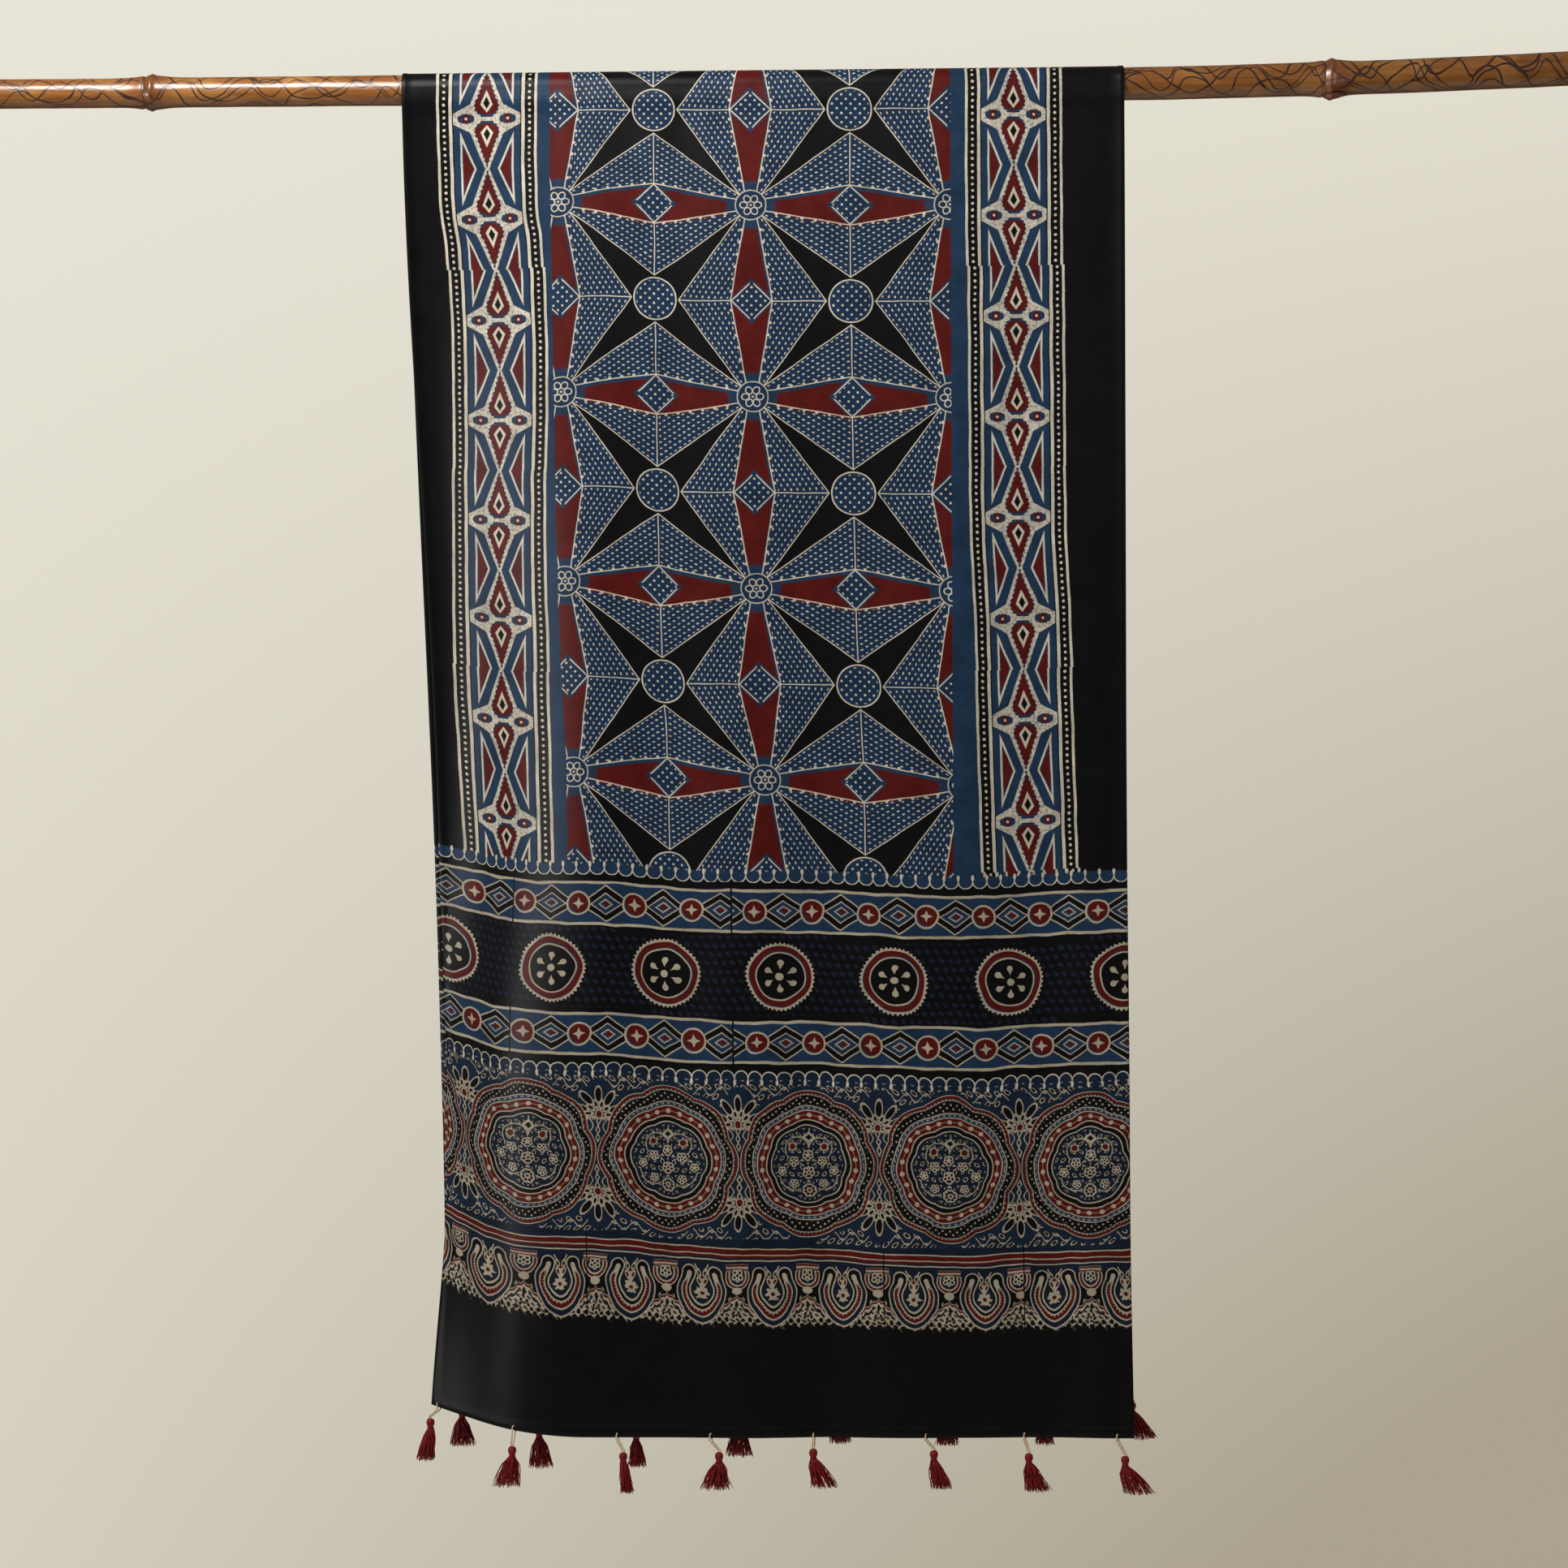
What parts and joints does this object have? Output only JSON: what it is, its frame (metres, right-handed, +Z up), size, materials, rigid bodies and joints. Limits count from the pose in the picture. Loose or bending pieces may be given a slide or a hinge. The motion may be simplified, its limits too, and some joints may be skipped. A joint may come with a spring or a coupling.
{
  "type": "ajrakh cloth hung over a bamboo pole",
  "caption": "Block-printed ajrakh stole hung over a bamboo pole, with patterned end bands and red thread tassels on cord loops along both hems.",
  "frame": {"origin": "on the pole's axis, under the middle of the stole, where the pole is taken as held", "axes": "+X along the pole to the right as seen from the front, +Z up, front panel faces -Y"},
  "size_m": [1.264, 0.1042, 1.1205],
  "materials": {
    "bamboo": "glossy smoked bamboo skin, warm brown with dark burnt curls, tan at the joints",
    "printed_cloth": "fine silky plain weave, block printed in indigo, black, madder red and undyed cream, soft satin sheen",
    "cream_cord": "twisted cotton cord, undyed cream, matt",
    "red_thread": "dark red silky thread, cut ends"
  },
  "bodies": {
    "root": {"pole": "bamboo", "cloth": "printed_cloth", "loop_front_1": "cream_cord", "loop_front_2": "cream_cord", "loop_front_3": "cream_cord", "loop_front_4": "cream_cord", "loop_front_5": "cream_cord", "loop_front_6": "cream_cord", "loop_front_7": "cream_cord", "loop_front_8": "cream_cord", "loop_back_1": "cream_cord", "loop_back_2": "cream_cord", "loop_back_3": "cream_cord", "loop_back_4": "cream_cord", "loop_back_5": "cream_cord", "loop_back_6": "cream_cord", "loop_back_7": "cream_cord", "loop_back_8": "cream_cord", "tassel_front_1": "red_thread", "tassel_front_2": "red_thread", "tassel_front_3": "red_thread", "tassel_front_4": "red_thread", "tassel_front_5": "red_thread", "tassel_front_6": "red_thread", "tassel_front_7": "red_thread", "tassel_front_8": "red_thread", "tassel_back_1": "red_thread", "tassel_back_2": "red_thread", "tassel_back_3": "red_thread", "tassel_back_4": "red_thread", "tassel_back_5": "red_thread", "tassel_back_6": "red_thread", "tassel_back_7": "red_thread", "tassel_back_8": "red_thread"}
  },
  "joints": []
}
